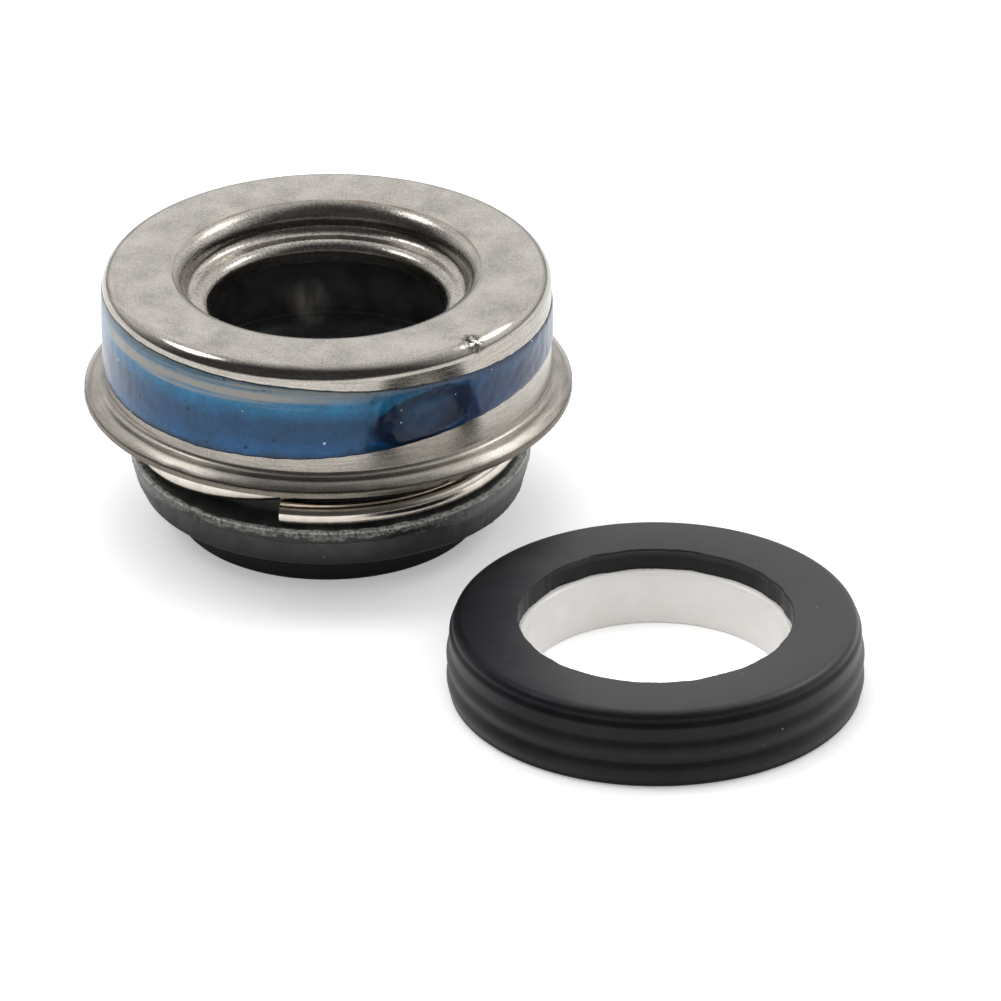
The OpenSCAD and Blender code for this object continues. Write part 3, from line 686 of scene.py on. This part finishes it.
def carbonGraphite(s):
    # machined carbon graphite: near black, with a soft shine
    made, tree, shader, coords = newMaterial("carbonGraphite", IOR=1.35)
    grit = addNode(tree, "TexNoise", {"Scale": 1 / (0.3 * mm), "Detail": 4.0}, {"Vector": coords}).outputs["Fac"]
    tint = addNode(tree, "ValToRGB", links={"Fac": grit},
                   stops=[(0.3, linear(s["dark"])), (0.7, linear(s["pale"]))]).outputs["Color"]
    tree.links.new(tint, shader.inputs["Base Color"])
    rough = addNode(tree, "MapRange", {"To Min": s["rough"][0], "To Max": s["rough"][1]}, {"Value": grit}).outputs["Result"]
    tree.links.new(rough, shader.inputs["Roughness"])
    return made


def carbonSection(s):
    return [(boreRadius, 0.0), (s["noseR"] - s["bevel"], 0.0), (s["noseR"], s["bevel"]), (s["noseR"], s["noseH"]),
            (s["bodyR"], s["noseH"]), (s["bodyR"], carbonHigh.z), (boreRadius, carbonHigh.z)]


ring = revolve("carbonSealRing", carbonSection(carbonShape), carbonGraphite(carbonLook))
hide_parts("carbon_ring")
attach(ring, "face")
clamp = frame["nodes"]["clamp_ring"]
clamp.data.materials.clear()
clamp.data.materials.append(steel)
print("sealing ring made")


# mating seat
seatShape = {
    "grooveR": 12.52, "shoulderR": 12.33, "shoulderRound": 0.6, "lipR": 8.34, "ribPitch": 1.45, "ribFirst": 0.95,
    "topRibIn": 0.18, "topRibHalf": 0.42, "ribs": 3, "ribCurve": 1.3,
    "lipRound": 0.12, "trim": 0.16, "ceramicBevel": 0.35, "ceramicEdge": 0.12,
}
seatLook = {
    "dark": "#0c0c10", "pale": "#151519", "rough": 0.4, "bloom": 1.6, "dust": "#b4b4b6", "index": 1.6,
    "oil": "#4a5570", "oilAt": -7.0, "oilReach": 6.0,
}
ceramicLook = {"dark": "#ebe8e4", "pale": "#f0eeea", "rough": 0.25}


def seatRubber(s):
    # harder moulded rubber: black with a cool sheen and white dust
    made, tree, shader, coords, tint, dust = rubberBase("seatRubber", s)
    shader.inputs["IOR"].default_value = s["index"]
    # oily film on the left, which takes the sheen down and turns it blue
    side = addNode(tree, "SeparateXYZ", links={"Vector": coords}).outputs["X"]
    smear = addNode(tree, "TexNoise", {"Scale": 1 / (4 * mm), "Detail": 5.0}, {"Vector": coords}).outputs["Fac"]
    side = addNode(tree, "Math", {1: 6 * mm}, {0: smear, 2: side}, operation="MULTIPLY_ADD").outputs[0]
    edge = seatCentre[0] + (s["oilAt"] + 3) * mm
    oil = addNode(tree, "MapRange", {"From Min": edge + s["oilReach"] / 2 * mm, "From Max": edge - s["oilReach"] / 2 * mm},
                  {"Value": side}, interpolation_type="SMOOTHSTEP").outputs["Result"]
    sheen = addNode(tree, "Mix", {"A": linear("#ffffff"), "B": linear(s["oil"])}, {"Factor": oil},
                    data_type="RGBA").outputs["Result"]
    # painted shade: the sheen is tinted darker on the ribbed side and in the hole than on the top, standing in for the
    # shaded floor that they mirror
    high = addNode(tree, "SeparateXYZ", links={"Vector": coords}).outputs["Z"]
    dull = addNode(tree, "MapRange", {"From Min": (seatHigh.z - 0.08) * mm, "From Max": (seatHigh.z - 0.5) * mm, "To Max": 0.75},
                   {"Value": high}).outputs["Result"]
    sheen = addNode(tree, "Mix", {"B": grey(0.1)}, {"Factor": dull, "A": sheen}, data_type="RGBA").outputs["Result"]
    tree.links.new(sheen, shader.inputs["Specular Tint"])
    final = addNode(tree, "Mix", {"B": linear(s["dust"])}, {"Factor": dust, "A": tint}, data_type="RGBA").outputs["Result"]
    tree.links.new(final, shader.inputs["Base Color"])
    return made


def lappedCeramic(s):
    # ground and lapped alumina: warm white, smooth, with faint cloudiness
    made, tree, shader, coords = newMaterial("lappedAlumina", Roughness=s["rough"], IOR=1.7)
    cloud = addNode(tree, "TexNoise", {"Scale": 1 / (1.5 * mm), "Detail": 5.0}, {"Vector": coords}).outputs["Fac"]
    tint = addNode(tree, "ValToRGB", links={"Fac": cloud},
                   stops=[(0.3, linear(s["dark"])), (0.7, linear(s["pale"]))]).outputs["Color"]
    tree.links.new(tint, shader.inputs["Base Color"])
    return made


def seatSection(s):
    low, top, lipLow = seatLow.z, seatHigh.z, ceramicHigh.z
    side = [(ceramicRadius, low), (s["grooveR"] - 0.1, low), (s["grooveR"], low + 0.1)]
    for i in range(s["ribs"]):
        last = i == s["ribs"] - 1
        crestR = seatRadius - (s["topRibIn"] if last else 0)
        crestZ = low + s["ribFirst"] + i * s["ribPitch"]
        for k in range(-8, 8):  # soft waves, of which the uppermost runs into the shoulder
            root, half = (s["shoulderR"], s["topRibHalf"]) if last and k > 0 else (s["grooveR"], s["ribPitch"] / 2)
            side.append((root + (crestR - root) * math.cos(math.pi * k / 16) ** s["ribCurve"], crestZ + half * k / 8))
    side += arc(s["shoulderR"] - s["shoulderRound"], top - s["shoulderRound"], s["shoulderRound"], 0, 90, 8)
    side += arc(s["lipR"] + s["lipRound"], top - s["lipRound"], s["lipRound"], 90, 180, 4)
    return side + [(s["lipR"], lipLow), (ceramicRadius, lipLow)]


def trimWave(r, z, turn):  # the hole was trimmed by hand, so its edge wanders
    if r < seatShape["lipR"] + 0.3:
        r += wobble(turn, 5, 2.0, seatShape["trim"]) + wobble(turn, 40, 5.0 + z * 2, seatShape["trim"] * 0.25)
    return r, z


def ceramicSection(s):
    top, bevel = ceramicHigh.z, s["ceramicBevel"]
    edge = s["ceramicEdge"]
    outline = [(seatBoreRadius, edge), (seatBoreRadius + edge, 0.0), (ceramicRadius, 0.0), (ceramicRadius, top)]
    return outline + arc(seatBoreRadius + bevel, top - bevel, bevel, 90, 180, 6)


cup = revolve("seatCup", seatSection(seatShape), seatRubber(seatLook), centre=seatCentre, shape=trimWave)
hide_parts("seat_cup")
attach(cup, "face")
ceramic = revolve("ceramicSeatRing", ceramicSection(seatShape), lappedCeramic(ceramicLook), centre=seatCentre)
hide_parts("ceramic_ring")
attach(ceramic, "face")
print("seat made")


# floor, light and camera
studio = {
    "floor": 3.0, "lift": 0.3, "fill": 0.68, "roomBright": 1.0, "roomDim": 0.06, "roomLow": 0.3,
    "sweepWay": (0.3, 0.95, 0.0), "sweepEdge": 0.5, "sweepRise": 0.35, "lampTarget": (0.005, -0.01, 0.008),
}
lamps = {  # spot and size in metres, power in watts, and whether bright metal shows the lamp
    "overheadSoftbox": ((-0.12, 0.2, 0.72), 0.8, 2.4, False),
    "leftSoftbox": ((-0.45, 0.04, 0.54), 0.28, 0.65, True),
    "rightSoftbox": ((0.5, 0.16, 0.48), 0.28, 0.65, True),
}
cameraShape = {  # spot in mm and turns in degrees
    "spot": (10.741, -501.16, 267.363), "pitch": 28.035, "roll": -0.338, "focalPixels": 9000.0, "imagePixels": 1001.0,
}


def makeFloor(s):
    size = s["floor"]
    mesh = bpy.data.meshes.new("floor")
    mesh.from_pydata([(-size, -size, 0), (size, -size, 0), (size, size, 0), (-size, size, 0)], [], [(0, 1, 2, 3)])
    made = bpy.data.objects.new("floor", mesh)
    bpy.context.scene.collection.objects.link(made)
    paper, tree, shader, coords = newMaterial("whitePaper", Roughness=0.9)
    fibre = addNode(tree, "TexNoise", {"Scale": 1 / (3 * mm), "Detail": 2.0}, {"Vector": coords}).outputs["Fac"]
    tint = addNode(tree, "ValToRGB", links={"Fac": fibre},
                   stops=[(0.0, linear("#fcfcfc")), (1.0, linear("#ffffff"))]).outputs["Color"]
    tree.links.new(tint, shader.inputs["Base Color"])
    # the paper is seen a little whiter than it is lit, and its shadow stays
    path = addNode(tree, "LightPath").outputs
    seen = addNode(tree, "Math", links={0: path["Is Camera Ray"], 1: path["Is Transmission Ray"]}, operation="MAXIMUM").outputs[0]
    seen = addNode(tree, "Math", {1: 0.2}, {0: path["Is Glossy Ray"], 2: seen}, operation="MULTIPLY_ADD").outputs[0]
    share = addNode(tree, "Math", {1: s["lift"]}, {0: seen}, operation="MULTIPLY").outputs[0]
    white = addNode(tree, "Emission", {"Color": linear("#ffffff")}, {"Strength": share}).outputs[0]
    added = addNode(tree, "AddShader", links={0: shader.outputs[0], 1: white}).outputs[0]
    tree.links.new(added, tree.nodes["Material Output"].inputs["Surface"])
    mesh.materials.append(paper)


def makeWorld(s):
    world = bpy.data.worlds.new("studio")
    bpy.context.scene.world = world
    world.use_nodes = True
    tree = world.node_tree
    tree.nodes.clear()
    path = addNode(tree, "LightPath").outputs
    white = addNode(tree, "Background", {"Color": linear("#ffffff"), "Strength": 1.0}).outputs[0]
    soft = addNode(tree, "Background", {"Color": linear("#ffffff"), "Strength": s["fill"]}).outputs[0]
    # bright metal shows a white sweep at the back, and a dim room overhead and on the photographer's side
    way = addNode(tree, "TexCoord").outputs["Generated"]
    back = addNode(tree, "VectorMath", {1: s["sweepWay"]}, {0: way}, operation="DOT_PRODUCT").outputs["Value"]
    back = addNode(tree, "MapRange", {"From Min": -s["sweepEdge"], "From Max": s["sweepEdge"]}, {"Value": back},
                   interpolation_type="SMOOTHSTEP").outputs["Result"]
    rise = addNode(tree, "SeparateXYZ", links={"Vector": way}).outputs["Z"]
    rise = addNode(tree, "MapRange", {"From Min": 0.0, "From Max": s["sweepRise"], "To Min": s["roomLow"],
                                      "To Max": s["roomBright"]},
                   {"Value": rise}, interpolation_type="SMOOTHSTEP").outputs["Result"]
    level = addNode(tree, "Math", {2: s["roomDim"]}, {0: back, 1: rise}, operation="MULTIPLY_ADD").outputs[0]
    room = addNode(tree, "Background", {"Color": linear("#ffffff")}, {"Strength": level}).outputs[0]
    shiny = addNode(tree, "MixShader", links={"Fac": path["Is Glossy Ray"], 1: soft, 2: room}).outputs[0]
    seen = addNode(tree, "Math", links={0: path["Is Camera Ray"], 1: path["Is Transmission Ray"]}, operation="MAXIMUM").outputs[0]
    mixed = addNode(tree, "MixShader", links={"Fac": seen, 1: shiny, 2: white}).outputs[0]
    addNode(tree, "OutputWorld", links={"Surface": mixed})


def makeLamp(name, spot, size, power, shown):
    data = bpy.data.lights.new(name, "AREA")
    data.shape = "DISK"
    data.size = size
    data.energy = power
    made = bpy.data.objects.new(name, data)
    bpy.context.scene.collection.objects.link(made)
    made.location = spot
    made.rotation_euler = (Vector(studio["lampTarget"]) - Vector(spot)).to_track_quat("-Z", "Y").to_euler()
    made.visible_glossy = shown


def makeCamera(s):
    data = bpy.data.cameras.new("photoCamera")
    data.sensor_width = 36.0
    data.sensor_fit = "HORIZONTAL"
    data.lens = s["focalPixels"] / s["imagePixels"] * data.sensor_width
    data.clip_start = 0.01
    made = bpy.data.objects.new("photoCamera", data)
    bpy.context.scene.collection.objects.link(made)
    turn = Matrix.Rotation(math.radians(90 - s["pitch"]), 4, "X") @ Matrix.Rotation(math.radians(s["roll"]), 4, "Z")
    made.matrix_world = Matrix.Translation([v * mm for v in s["spot"]]) @ turn
    bpy.context.scene.camera = made


makeFloor(studio)
makeWorld(studio)
for lampName, lamp in lamps.items():
    makeLamp(lampName, *lamp)
makeCamera(cameraShape)
bpy.context.scene.view_settings.view_transform = "Standard"
print("stage made")
